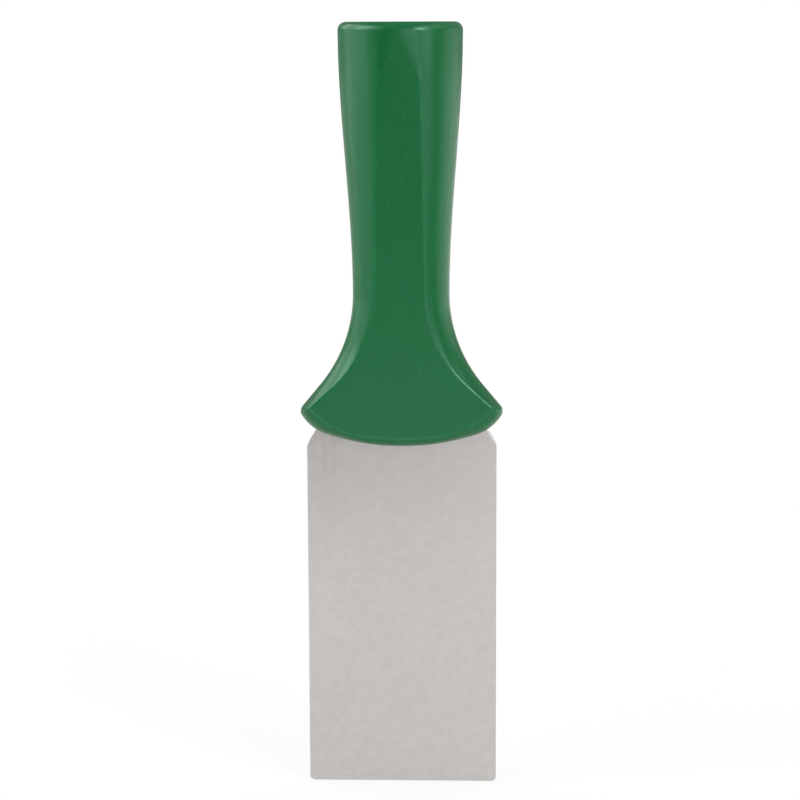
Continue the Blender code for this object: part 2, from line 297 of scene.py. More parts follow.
@dataclass
class Handle:
    """The moulded handle: a round end with a threaded socket, a grip with flats, and a flared head."""

    blade_reach: float = 0.09295
    tip_lift: float = 0.0089
    grip_length: float = 0.0627
    collar_length: float = 0.008

    end_diameter: float = 0.03254
    end_draft: float = math.radians(0.9)
    end_rounding: float = 0.0021
    flat_run_out: float = 0.006
    flat_run_out_bow: float = 1.0
    flat_cut_depth: float = 0.00105
    grip_end_draft: float = math.radians(1.4)

    neck_width: float = 0.02544
    flare_angle: float = math.radians(39.7)
    flare_straight_length: float = 0.0077
    head_width: float = 0.05372
    widest_half_width: float = 0.026846
    tip_radius: float = 0.002
    tip_under_angle: float = math.radians(33)
    foot_half_width: float = 0.0195
    lower_rim_drop: float = 0.00035
    lower_rim_radius: float = 0.0675

    flat_neck_width: float = 0.0135
    flat_flare_angle: float = math.radians(48.8)
    flat_straight_length: float = 0.009
    flat_tip_margin: float = 0.0025
    flat_lower_lift: float = 0.0024
    flat_corner_lift: float = 0.01067
    flat_lower_roundness: float = 0.3
    foot_crease_inset: float = 0.0036
    full_side_lean: float = math.radians(14)
    full_side_fade: float = 0.0125
    head_edge_thickness: float = 0.0118
    head_face_slope: float = math.radians(4.6)
    head_face_length: float = 0.034

    crease_rounding: float = 0.0006
    crease_support: float = 0.0003
    crease_softness: float = 0.00022
    crease_fade_length: float = 0.0016
    collar_softness: float = 0.0005
    corner_blend_power: int = 16
    parting_half_width: float = 0.00012
    parting_height: float = 0.00003
    pocket_gap: float = 0.00002

    socket_bore: float = 0.0194
    socket_depth: float = 0.031
    rim_land_width: float = 0.0021
    rim_edge_rounding: float = 0.0003
    lead_in_angle: float = math.radians(47)
    lead_in_wear: float = 0.3
    thread_pitch: float = 0.005
    thread_depth: float = 0.0013
    thread_root_width: float = 0.0019
    thread_mouth_width: float = 0.0030
    thread_rounding: float = 0.0003
    thread_fade_turn_share: float = 0.25
    socket_ledge_width: float = 0.0011
    core_length: float = 0.021
    core_draft: float = math.radians(7)
    core_rounding: float = 0.0012

    flat_steps: int = 10
    crease_steps: int = 5
    side_steps: int = 22
    collar_rows: int = 24
    grip_rows: int = 44
    flare_rows: int = 30
    straight_rows: int = 8
    tip_rows: int = 12
    foot_rows: int = 12
    lower_rows: int = 32
    rounding_steps: int = 8
    edge_steps: int = 3
    thread_row_height: float = 0.0002

    end_radius: float = field(init=False)
    collar_radius: float = field(init=False)
    neck_half_width: float = field(init=False)
    head_half_width: float = field(init=False)
    tip_center: Vector = field(init=False)
    tip_foot: Vector = field(init=False)
    flat_corner: Vector = field(init=False)
    inner_corner: Vector = field(init=False)
    rim_flare: list[Vector] = field(init=False)
    crease_flare: list[Vector] = field(init=False)
    inner_flare: list[Vector] = field(init=False)
    neck_height: float = field(init=False)
    collar_height: float = field(init=False)
    total_length: float = field(init=False)
    flat_end_height: float = field(init=False)
    flat_end_depth: float = field(init=False)

    def __post_init__(self) -> None:
        """Work out the sizes that follow from the named ones."""
        self.end_radius = self.end_diameter / 2
        draft_length = self.collar_length - self.end_rounding
        self.collar_radius = self.end_radius - draft_length * math.tan(self.end_draft)
        self.neck_half_width = self.neck_width / 2
        self.head_half_width = self.head_width / 2
        self.tip_center = Vector((self.head_half_width - self.tip_radius, self.blade_reach + self.tip_lift))
        angle = self.flare_angle
        tip_start = self.tip_center + self.tip_radius * Vector((math.cos(angle), math.sin(angle)))
        self.tip_foot = Vector((self.foot_half_width, self.rim_edge(self.foot_half_width)))
        corner_across = self.head_half_width - self.flat_tip_margin
        self.flat_corner = Vector((corner_across, self.crease_edge(corner_across)))
        self.inner_corner = self.flat_corner + self.corner_inset()
        self.rim_flare = self.flare(tip_start, self.neck_half_width, angle, self.flare_straight_length)
        flat_half = self.flat_neck_width / 2
        straight = self.flat_straight_length
        self.crease_flare = self.flare(self.flat_corner, flat_half, self.flat_flare_angle, straight)
        inner_half = flat_half - self.crease_rounding
        lean = self.flat_flare_angle
        shorter = (self.flat_corner - self.inner_corner).dot(Vector((math.sin(lean), -math.cos(lean))))
        self.inner_flare = self.flare(self.inner_corner, inner_half, lean, straight - shorter)
        self.neck_height = self.rim_flare[0].y
        self.collar_height = self.neck_height + self.grip_length
        self.total_length = self.collar_height + self.collar_length
        self.flat_end_height = self.collar_height - self.flat_run_out
        self.flat_end_depth = self.grip_half_width(self.flat_end_height) - self.flat_cut_depth

    def rim_edge(self, across: float) -> float:
        """Return the height of the head's lower edge in the middle plane."""
        radius = self.lower_rim_radius
        return self.blade_reach - self.lower_rim_drop + radius - math.sqrt(radius**2 - across**2)

    def crease_edge(self, across: float) -> float:
        """Return the height of the front flat's lower edge, which bows up ever faster to its corners.

        Args:
            across: Distance from the middle, to the right.

        Returns:
            The height.
        """
        share = across / (self.head_half_width - self.flat_tip_margin)
        bow = self.flat_lower_roundness * share**2 + (1 - self.flat_lower_roundness) * share**4
        return self.blade_reach + self.flat_lower_lift + (self.flat_corner_lift - self.flat_lower_lift) * bow

    def crease_slope(self, across: float) -> float:
        """Return the angle at which the front flat's lower edge climbs.

        Args:
            across: Distance from the middle, to the right.

        Returns:
            The angle, in radians.
        """
        width = self.head_half_width - self.flat_tip_margin
        share = across / width
        climb = 2 * self.flat_lower_roundness * share + 4 * (1 - self.flat_lower_roundness) * share**3
        return math.atan((self.flat_corner_lift - self.flat_lower_lift) * climb / width)

    def corner_inset(self) -> Vector:
        """Work out the shift from the flat's corner to where the flat meets both crease roundings.

        Returns:
            The shift, as (across, up).
        """
        lower_slope = self.crease_slope(self.flat_corner.x)
        from_flare = Vector((-math.cos(self.flat_flare_angle), -math.sin(self.flat_flare_angle)))
        from_edge = Vector((-math.sin(lower_slope), math.cos(lower_slope)))
        return self.crease_rounding * (from_flare + from_edge) / (1 + from_flare.dot(from_edge))

    def grip_half_width(self, height: float) -> float:
        """Return the half-width of the grip's outline at a height.

        Args:
            height: Height above the working edge.

        Returns:
            The half-width.
        """
        share = (height - self.neck_height) / self.grip_length
        slope = math.tan(self.grip_end_draft)
        return ease(self.neck_half_width, self.collar_radius, 0, slope, self.grip_length, share)

    def flare(self, rim: Vector, neck_half: float, angle: float, straight_length: float) -> list[Vector]:
        """Return points down a flare, an upright arc from the neck that ends in a straight run.

        Args:
            rim: Last point of the straight run.
            neck_half: Half-width at the neck.
            angle: Lean of the straight run.
            straight_length: Length of the straight run.

        Returns:
            The points from the neck to the rim.
        """
        arc_gain = rim.x - straight_length * math.sin(angle) - neck_half
        radius = arc_gain / (1 - math.cos(angle))
        arc_end = rim + straight_length * Vector((-math.sin(angle), math.cos(angle)))
        start = Vector((neck_half, arc_end.y + radius * math.sin(angle)))
        points = []
        for index in range(self.flare_rows + 1):
            turn = angle * index / self.flare_rows
            points.append(start + radius * Vector((1 - math.cos(turn), -math.sin(turn))))
        for index in range(1, self.straight_rows + 1):
            points.append(arc_end.lerp(rim, index / self.straight_rows))
        return points

    def flat_depth(self, height: float) -> float:
        """Return how far the front flat stands in front of the middle plane at a height.

        Args:
            height: Height above the working edge.

        Returns:
            The distance.
        """
        slope = math.tan(self.head_face_slope)
        half_thickness = self.head_edge_thickness / 2
        plane = half_thickness + (height - self.blade_reach) * slope
        bend_height = self.blade_reach + self.head_face_length
        if height <= bend_height:
            return plane
        bend = self.flat_end_depth - half_thickness - (self.flat_end_height - self.blade_reach) * slope
        span = self.flat_end_height - bend_height
        if height <= self.flat_end_height:
            return plane + bend * ((height - bend_height) / span)**2
        beyond = height - self.flat_end_height
        return self.flat_end_depth + (slope + 2 * bend / span) * beyond - self.flat_run_out_bow * beyond**2

    def grip_row(self, share: float) -> tuple[Vector, Vector, Vector]:
        """Work out a row of the grip, between the flat's end and the neck.

        Args:
            share: Share of the way, from 0 to 1.

        Returns:
            The outline's point, the crease's point and the point where its rounding starts.
        """
        top = self.flat_end_height
        top_radius = self.grip_half_width(top)
        top_half = math.sqrt(top_radius**2 - self.flat_end_depth**2)
        rim_height = top + (self.neck_height - top) * share
        crease = Vector((top_half, top)).lerp(self.crease_flare[0], share)
        inner = Vector((top_half - self.crease_rounding, top)).lerp(self.inner_flare[0], share)
        return Vector((self.grip_half_width(rim_height), rim_height)), crease, inner

    def tip_rims(self) -> list[Vector]:
        """Return rim points round the tip, to where its underside turns into the foot's curve."""
        last = -self.tip_under_angle
        return arc_points(self.tip_center, self.tip_radius, self.flare_angle, last, self.tip_rows)[1:]

    def foot_rims(self) -> list[Vector]:
        """Work out the outline's points along the curve from the tip's underside to the lower edge.

        Returns:
            The points between both ends of the curve.
        """
        start = self.tip_rims()[-1]
        turn = self.tip_under_angle
        from_start = Vector((-math.sin(turn), -math.cos(turn)))
        slope = math.asin(self.tip_foot.x / self.lower_rim_radius)
        from_end = Vector((math.cos(slope), math.sin(slope)))
        reach = (self.tip_foot - start).cross(from_end) / from_start.cross(from_end)
        return bezier(start, start + reach * from_start, self.tip_foot, self.foot_rows)[1:-1]

    def outline_rows(self) -> list[tuple[Vector, Vector, Vector, float]]:
        """List the rows down the right side, from the flat's end to the lower middle.

        Returns:
            For each row the outline's point, the crease's point, the inner point and how full the side is.
        """
        rows = [(*self.grip_row(index / self.grip_rows), 0.0) for index in range(self.grip_rows)]
        for rim, crease, inner in zip(self.rim_flare, self.crease_flare, self.inner_flare):
            rows.append((rim, crease, inner, 0.0))
        rows += [(rim, self.flat_corner, self.inner_corner, 0.0) for rim in self.tip_rims()]
        for index, rim in enumerate(self.foot_rims(), 1):
            across = self.flat_corner.x - self.foot_crease_inset * index / self.foot_rows
            rows.append((rim, *self.lower_crease(across), 0.0))
        last_across = self.flat_corner.x - self.foot_crease_inset
        for index in range(self.lower_rows + 1):
            share = 1 - index / self.lower_rows
            across = self.tip_foot.x * share
            rim = Vector((across, self.rim_edge(across)))
            fullness = smooth_step((self.tip_foot.x - across) / self.full_side_fade)
            rows.append((rim, *self.lower_crease(last_across * share), fullness))
        return rows

    def lower_crease(self, across: float) -> tuple[Vector, Vector]:
        """Work out a point of the flat's lower edge and the point where its rounding starts.

        Args:
            across: Distance from the middle, to the right.

        Returns:
            The crease's point and the inner point.
        """
        crease = Vector((across, self.crease_edge(across)))
        slope = self.crease_slope(across)
        corner_across = self.flat_corner.x
        share = across / corner_across
        lift = self.crease_rounding * Vector((-math.sin(slope), math.cos(slope)))
        corner_lift = self.corner_inset()
        return crease, crease + lift.lerp(corner_lift, share**self.corner_blend_power)

    def side_points(self, rim: Vector, crease: Vector, depth: float, fullness: float) -> list[Vector]:
        """Return the points of the side, from the end of the crease's rounding to the parting line's ridge.

        Both forms of the side cross the middle plane squarely: a circular arc, and a fuller curve that
        leaves the crease almost upright.

        Args:
            rim: Outline point in the middle plane, as (across, height).
            crease: Point where the flat and the side would meet.
            depth: How far the crease stands in front of the middle plane.
            fullness: Share of the fuller curve, from 0 to 1.

        Returns:
            The side's points.
        """
        offset = rim - crease
        reach = offset.length
        radius = (reach**2 + depth**2) / (2 * reach)
        start = math.atan2(depth, radius - reach) - self.crease_rounding / radius
        parting = self.parting_half_width / radius
        control = depth - reach * math.tan(self.full_side_lean)
        first = self.crease_rounding / (2 * math.hypot(reach, depth - control))
        last = 1 - self.parting_half_width / (2 * control)
        places = []
        for index in range(self.side_steps + 1):
            share = index / self.side_steps
            angle = start + (parting - start) * share
            round_side = Vector((radius * (1 - math.cos(angle)), radius * math.sin(angle)))
            turn = first + (last - first) * share
            rest = 1 - turn
            full_side = Vector((rest**2 * reach, rest**2 * depth + 2 * rest * turn * control))
            places.append(round_side.lerp(full_side, fullness))
        places.append(Vector((-self.parting_height, 0.0)))
        points = []
        for inset, aside in places:
            place = rim - offset * (inset / reach)
            points.append(Vector((min(place.x, self.widest_half_width), -aside, place.y)))
        return points

    def quarter_section(self, rim: Vector, crease: Vector, inner: Vector,
                        fullness: float = 0.0) -> list[Vector]:
        """Return points from the middle of the front flat, over the crease and round to the parting line.

        Args:
            rim: Outline point in the middle plane, as (across, height).
            crease: Point where the flat and the side would meet.
            inner: Point where the flat gives way to the crease's rounding.
            fullness: How full the side is, from 0 to 1.

        Returns:
            The points of a quarter of the section.
        """
        depth = self.flat_depth(crease.y)
        inner_depth = self.flat_depth(inner.y)
        margin = min(self.crease_support, inner.x / self.flat_steps)
        points = []
        for index in range(self.flat_steps):
            across = (inner.x - margin) * index / (self.flat_steps - 1)
            points.append(Vector((across, -inner_depth, inner.y)))
        side = self.side_points(rim, crease, depth, fullness)
        flat_edge = Vector((inner.x, -inner_depth, inner.y))
        corner = Vector((crease.x, -depth, crease.y))
        return points + bezier(flat_edge, corner, side[0], self.crease_steps) + side[1:]

    def quarter_wear_and_highlight(self) -> list[float]:
        """List the wear and painted highlight of each point of a quarter section, of which only the crease
        carries them.

        Returns:
            The wear and painted highlight from 0 to 1, in the order of the points.
        """
        wear = [0.0] * self.flat_steps
        for index in range(self.crease_steps + 1):
            wear.append(math.sin(math.pi * index / self.crease_steps))
        return wear + [0.0] * (self.side_steps + 1)

    def section_angles(self) -> list[float]:
        """List the angle of each point of the section where the creases end.

        Returns:
            The angles from the front middle to the side, in radians.
        """
        rim, crease, inner = self.grip_row(0)
        angles = [math.atan2(point.x, -point.y) for point in self.quarter_section(rim, crease, inner)]
        angles[-1] = QUARTER_TURN
        return angles

    def level_section(self, radius: float, height: float, ridge: float = 0.0) -> list[Vector]:
        """Return a quarter of a level circle from which the flat runs out softly upwards.

        Args:
            radius: Radius of the circle.
            height: Height of the circle.
            ridge: How far the parting line stands out.

        Returns:
            The points from the front round to the side.
        """
        flat = self.flat_depth(height)
        beyond = smooth_step((height - self.flat_end_height) / self.crease_fade_length)
        softness = self.crease_softness + (self.collar_softness - self.crease_softness) * beyond
        points = []
        for angle in self.section_angles():
            if angle == QUARTER_TURN:
                points.append(Vector((radius + ridge, 0.0, height)))
                continue
            plane = flat / math.cos(angle)
            nearness = max(0.0, 1 - abs(radius - plane) / softness)
            reach = min(radius, plane) - nearness**2 * softness / 4
            points.append(Vector((reach * math.sin(angle), -reach * math.cos(angle), height)))
        return points

    @staticmethod
    def full_ring(quarter: list) -> list[tuple]:
        """Return the whole ring of a quarter section as (value, across sign, depth sign).

        Args:
            quarter: Values from the front middle to the parting line.

        Returns:
            Each value with the signs that place it, anticlockwise from the front middle.
        """
        count = len(quarter) - 1
        ring = [(quarter[index], 1, 1) for index in range(count + 1)]
        ring += [(quarter[index], 1, -1) for index in range(count - 1, -1, -1)]
        ring += [(quarter[index], -1, -1) for index in range(1, count + 1)]
        ring += [(quarter[index], -1, 1) for index in range(count - 1, 0, -1)]
        return ring

    def add_ring(self, skin: Skin, quarter: list[Vector], wear: list[float]) -> list[bmesh.types.BMVert]:
        """Add a ring of vertices, mirrored from a quarter section.

        Args:
            skin: Mesh in the making.
            quarter: Points of a quarter of the section.
            wear: Wear of each point, which along the creases and round the end is also a painted highlight.

        Returns:
            The ring's vertices.
        """
        ring = []
        for (point, amount), across_sign, depth_sign in self.full_ring(list(zip(quarter, wear))):
            place = Vector((point.x * across_sign, point.y * depth_sign, point.z))
            ring.append(skin.vertex(place, worn_edge=amount))
        return ring

    def outer_quarters(self) -> list[tuple[list[Vector], list[float]]]:
        """Build the outer skin's quarter sections, from the rim to the lower middle.

        Returns:
            Points and the wear-and-highlight mask of each quarter section.
        """
        rows = []
        count = len(self.section_angles())
        rounding = self.end_rounding
        for index in range(self.rounding_steps, -1, -1):
            angle = QUARTER_TURN * index / self.rounding_steps
            radius = self.end_radius - rounding + rounding * math.cos(angle)
            height = self.total_length - rounding + rounding * math.sin(angle)
            ridge = self.parting_height * math.cos(angle)
            # Painted highlight: the round end's rounding is lightened most halfway round, where the lamps
            # gleam on it.
            wear = [math.sin(2 * angle)] * count
            rows.append((self.level_section(radius, height, ridge), wear))
        crease_wear_and_highlight = self.quarter_wear_and_highlight()
        for index in range(1, self.collar_rows):
            share = index / self.collar_rows
            height = (self.total_length - rounding) * (1 - share) + self.flat_end_height * share
            radius = self.grip_half_width(height)
            if height > self.collar_height:
                radius = self.collar_radius + (height - self.collar_height) * math.tan(self.end_draft)
            wear = [amount * share for amount in crease_wear_and_highlight]
            rows.append((self.level_section(radius, height, self.parting_height), wear))
        for rim, crease, inner, fullness in self.outline_rows():
            rows.append((self.quarter_section(rim, crease, inner, fullness), crease_wear_and_highlight))
        return rows

    def thread_reach(self, angle: float, height: float) -> float:
        """Return how deep the thread's groove is at a place of the bore.

        Args:
            angle: Angle round the socket, in radians from +X.
            height: Height above the working edge.

        Returns:
            Depth of the groove, 0 on the bore itself.
        """
        start = self.total_length - self.socket_depth + self.thread_pitch
        turn_share = (angle % (2 * math.pi)) / (2 * math.pi)
        place = (height - start) / self.thread_pitch - turn_share
        turn = round(place)
        fade = smooth_step((turn + turn_share) / self.thread_fade_turn_share)
        aside = abs(place - turn) * self.thread_pitch
        root = (self.thread_root_width - self.thread_rounding) / 2
        mouth = (self.thread_mouth_width + self.thread_rounding) / 2
        return self.thread_depth * fade * (1 - smooth_step((aside - root) / (mouth - root)))

    def socket_profile(self) -> list[tuple[float, float, float]]:
        """List the socket's rings, from the land at the rim to the core's foot.

        Returns:
            Radius, height and wear of each ring.
        """
        bore = self.socket_bore / 2
        top = self.total_length
        land = self.end_radius - self.end_rounding - self.rim_land_width
        spread = math.tan(self.lead_in_angle)
        edge = self.rim_edge_rounding
        along = Vector((-math.sin(self.lead_in_angle), -math.cos(self.lead_in_angle)))
        corner = Vector((land, top))
        profile = []
        for place in bezier(corner + Vector((edge, 0)), corner, corner + edge * along, self.edge_steps):
            profile.append((place.x, place.y, 1.0))
        lead_in_depth = (land - bore) / spread
        first = profile[-1][1]
        last = top - lead_in_depth
        rows = math.ceil((first - last) / self.thread_row_height)
        for index in range(1, rows + 1):
            height = first + (last - first) * index / rows
            profile.append((bore + (height - last) * spread, height, self.lead_in_wear))
        core_top = top - self.socket_depth
        ledge_top = core_top + self.socket_ledge_width
        rows = math.ceil((last - ledge_top) / self.thread_row_height)
        for index in range(1, rows + 1):
            profile.append((bore, last + (ledge_top - last) * index / rows, 0.0))
        core_radius = bore - self.socket_ledge_width
        profile.append((core_radius, core_top, 0.0))
        foot_radius = core_radius - self.core_length * math.tan(self.core_draft)
        foot = Vector((foot_radius, core_top - self.core_length))
        wall = Vector((core_radius, core_top)) - foot
        start = foot + wall.normalized() * self.core_rounding
        for place in bezier(start, foot, foot - Vector((self.core_rounding, 0)), self.edge_steps):
            profile.append((place.x, place.y, 0.0))
        return profile

    def add_socket(self, skin: Skin) -> list[list[bmesh.types.BMVert]]:
        """Add the socket's rings, from the rim's land down to the core's foot.

        Args:
            skin: Mesh in the making.

        Returns:
            The rings, the highest first.
        """
        directions = []
        for angle, across_sign, depth_sign in self.full_ring(self.section_angles()):
            directions.append(Vector((math.sin(angle) * across_sign, -math.cos(angle) * depth_sign)))
        thread_foot = self.total_length - self.socket_depth
        rings = []
        for radius, height, wear in self.socket_profile():
            ring = []
            for direction in directions:
                reach = radius
                if height > thread_foot:
                    turn = math.atan2(direction.y, direction.x)
                    groove = self.socket_bore / 2 + self.thread_reach(turn, height)
                    reach = max(radius, groove)
                place = Vector((direction.x * reach, direction.y * reach, height))
                ring.append(skin.vertex(place, worn_edge=wear))
            rings.append(ring)
        return rings

    def build(self, pocket_cutter: bpy.types.Object) -> bpy.types.Object:
        """Build the handle as one closed skin with its socket, and cut the tang's pocket.

        Args:
            pocket_cutter: Closed solid of the space that the tang fills.

        Returns:
            The handle's object.
        """
        skin = Skin()
        rings = self.add_socket(skin)[::-1]
        for quarter, wear in self.outer_quarters():
            rings.append(self.add_ring(skin, quarter, wear))
        skin.face(rings[0])
        skin.ring_wall(rings)
        handle = skin.finish("moulded_handle")
        cut_away(handle, [pocket_cutter])
        shade_crisp(handle)
        return handle

    def dress(self, handle: bpy.types.Object) -> None:
        """Give the handle its finish and seat it in the frame.

        Args:
            handle: The handle's object.
        """
        handle.data.materials.clear()
        handle.data.materials.append(MouldedPlastic(top=self.total_length).build())
        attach(handle, ROOT_BODY)
        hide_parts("handle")


@dataclass
class Blade:
    """The steel blade: a flat plate with a ground working edge, and a tang that the head holds."""

    handle: Handle

    width: float = 0.0505
    thickness: float = 0.0015
    corner_radius: float = 0.0014
    edge_break: float = 0.00022
    ground_height: float = 0.0008
    ground_depth: float = 0.0005
    shoulder_drop: float = 0.00065
    shoulder_radius: float = 0.002
    shoulder_turn: float = math.radians(20.0)
    shoulder_bow_radius: float = 0.015
    shoulder_bow_turn: float = math.radians(36.0)
    shoulder_length: float = 0.009
    root_inset: float = 0.0035
    root_length: float = 0.0125
    stem_side_cover: float = 0.0051
    stem_length: float = 0.0135
    stem_corner_radius: float = 0.002
    hole_diameter: float = 0.0064
    shoulder_hole_spacing: float = 0.0216
    shoulder_hole_lift: float = 0.0103
    stem_hole_lift: float = 0.0265
    overrun: float = 0.002

    corner_steps: int = 12
    shoulder_steps: int = 8
    edge_steps: int = 4
    hole_sides: int = 48

    def shoulder_points(self, root: Vector) -> list[Vector]:
        """Return the right shoulder: a small round corner, then a slight bow up to the line to the root.

        Args:
            root: Where the tang's root begins, inside the head.

        Returns:
            The shoulder's points, from the blade's side upwards.
        """
        half = self.width / 2
        corner = Vector((half - self.shoulder_radius, 0.0))
        meeting = Vector((math.cos(self.shoulder_turn), math.sin(self.shoulder_turn)))
        middle = corner - (self.shoulder_bow_radius - self.shoulder_radius) * meeting
        points = arc_points(corner, self.shoulder_radius, 0, self.shoulder_turn, self.shoulder_steps)
        bow = arc_points(middle, self.shoulder_bow_radius, self.shoulder_turn, self.shoulder_bow_turn,
                         self.shoulder_steps)
        points += bow[1:]
        last = points[-1]
        rise = self.shoulder_length * (half - last.x) / (half - root.x)
        lift = Vector((0.0, self.handle.blade_reach - self.shoulder_drop + rise - last.y))
        return [point + lift for point in points]

    def outline(self) -> list[Vector]:
        """Work out the blade's outline, anticlockwise from the working edge.

        Returns:
            The points as (across, height).
        """
        half = self.width / 2
        root_across = min(half, self.handle.flat_corner.x) - self.root_inset
        root_height = self.handle.blade_reach - self.shoulder_drop + self.shoulder_length
        root = Vector((root_across, root_height))
        stem_base = root.y + self.root_length
        stem_top = stem_base + self.stem_length
        stem_half = self.handle.neck_half_width - self.stem_side_cover
        corner = Vector((half - self.corner_radius, self.corner_radius))
        right = arc_points(corner, self.corner_radius, -QUARTER_TURN, 0, self.corner_steps)
        right += self.shoulder_points(root)
        right += [root, Vector((stem_half, stem_base))]
        stem_corner = Vector((stem_half - self.stem_corner_radius, stem_top - self.stem_corner_radius))
        right += arc_points(stem_corner, self.stem_corner_radius, 0, QUARTER_TURN, self.corner_steps)
        left = [Vector((-point.x, point.y)) for point in reversed(right)]
        return right + left

    def edge_layers(self) -> list[Layer]:
        """Work out the layers from the front face over its rounded or ground edge to the rim.

        Returns:
            The layers, the front face first.
        """
        outline = self.outline()
        half = self.thickness / 2
        inset = offset_outline(outline, -self.edge_break)
        layers = []
        for step in range(self.edge_steps + 1):
            share = step / self.edge_steps
            angle = QUARTER_TURN * share
            points, wear, ground = [], [], []
            for rim, inner in zip(outline, inset):
                ground_share = min(max(1 - rim.y / self.ground_height, 0), 1)
                start = Vector((inner.x, max(inner.y, self.ground_height)))
                round_place = start.lerp(rim, math.sin(angle))
                round_depth = self.edge_break * (1 - math.cos(angle))
                place = round_place.lerp(start.lerp(rim, share), ground_share)
                depth = round_depth + (self.ground_depth * share - round_depth) * ground_share
                points.append(Vector((place.x, depth - half, place.y)))
                wear.append(1.0)
                ground.append(ground_share)
            layers.append((points, wear, ground))
        return layers

    def plate(self, name: str, layers: list[Layer]) -> bpy.types.Object:
        """Build a closed plate through layers and their mirror images at the back.

        Args:
            name: Name of the object.
            layers: Layers from the front face to the rim.

        Returns:
            The plate's object.
        """
        skin = Skin()
        rings = []
        for sign, side in ((1, layers), (-1, layers[::-1])):
            for points, wear, ground in side:
                ring = []
                for point, amount, share in zip(points, wear, ground):
                    place = Vector((point.x, point.y * sign, point.z))
                    ring.append(skin.vertex(place, worn_edge=amount, ground=share))
                rings.append(ring)
        skin.ring_wall(rings)
        at_shoulder = self.corner_steps + 1
        for ring in (rings[0], rings[-1]):
            skin.face(ring)
            bmesh.ops.connect_verts(skin.mesh_data, verts=[ring[at_shoulder], ring[-1 - at_shoulder]])
        return skin.finish(name)

    def hole_places(self) -> list[tuple[float, float]]:
        """List the places of the tang's key holes.

        Returns:
            Across and height of each hole.
        """
        reach = self.handle.blade_reach
        aside = self.shoulder_hole_spacing / 2
        low = reach + self.shoulder_hole_lift
        return [(-aside, low), (aside, low), (0.0, reach + self.stem_hole_lift)]

    def pins(self, diameter: float, depth: float) -> list[bpy.types.Object]:
        """Return round pins through the tang's holes.

        Args:
            diameter: Diameter of the pins.
            depth: Length of the pins.

        Returns:
            One object for each hole.
        """
        pins = []
        for number, (across, height) in enumerate(self.hole_places(), 1):
            mesh_data = bmesh.new()
            bmesh.ops.create_cone(
                mesh_data,
                cap_ends=True,
                segments=self.hole_sides,
                radius1=diameter / 2,
                radius2=diameter / 2,
                depth=depth,
                matrix=Matrix.Translation((across, 0, height)) @ Matrix.Rotation(QUARTER_TURN, 4, "X"),
            )
            pins.append(mesh_object(f"pin_{number}", mesh_data))
        return pins

    def pocket_cutter(self) -> bpy.types.Object:
        """Build the space that the tang fills in the head, with the pegs in its holes left standing.

        Returns:
            The closed solid that is cut from the handle.
        """
        gap = self.handle.pocket_gap
        depth = self.thickness / 2 + gap
        wide = offset_outline(self.outline(), gap)
        layer = [Vector((point.x, -depth, point.y)) for point in wide]
        cutter = self.plate("pocket_cutter", [(layer, [0.0] * len(layer), [0.0] * len(layer))])
        cut_away(cutter, self.pins(self.hole_diameter - 2 * gap, 2 * (depth + self.overrun)))
        return cutter

    def build(self) -> bpy.types.Object:
        """Build the blade with its rounded edges, ground working edge and key holes.

        Returns:
            The blade's object.
        """
        blade = self.plate("steel_blade", self.edge_layers())
        cut_away(blade, self.pins(self.hole_diameter, self.thickness + 2 * self.overrun))
        shade_crisp(blade)
        return blade

    def dress(self, blade: bpy.types.Object) -> None:
        """Give the blade its finish and seat it in the frame.

        Args:
            blade: The blade's object.
        """
        blade.data.materials.clear()
        blade.data.materials.append(SatinSteel().build())
        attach(blade, ROOT_BODY)
        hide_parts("blade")


class Signal:
    """A number or place that runs through a node tree, with sums on numbers as plain arithmetic."""

    def __init__(self, nodes: "Nodes", socket: bpy.types.NodeSocket) -> None:
        """Keep the socket that carries it, and what adds nodes behind it."""
        self.nodes = nodes
        self.socket = socket

    def __add__(self, other: "Signal | float") -> "Signal":
        """Return the sum."""
        return self.nodes.math("ADD", self, other)

    def __sub__(self, other: "Signal | float") -> "Signal":
        """Return what is left when the other is taken away."""
        return self.nodes.math("SUBTRACT", self, other)

    def __rsub__(self, other: float) -> "Signal":
        """Return what is left of a plain number when this is taken away."""
        return self.nodes.math("SUBTRACT", other, self)

    def __mul__(self, other: "Signal | float") -> "Signal":
        """Return the product."""
        return self.nodes.math("MULTIPLY", self, other)

    def __truediv__(self, other: "Signal | float") -> "Signal":
        """Return the quotient."""
        return self.nodes.math("DIVIDE", self, other)

    def or_more(self, other: "Signal | float") -> "Signal":
        """Return the greater of the two."""
        return self.nodes.math("MAXIMUM", self, other)

    def between(self, low: "Signal | float", high: "Signal | float") -> "Signal":
        """Return the value that lies this share of the way from one value to another."""
        return self * (high - low) + low


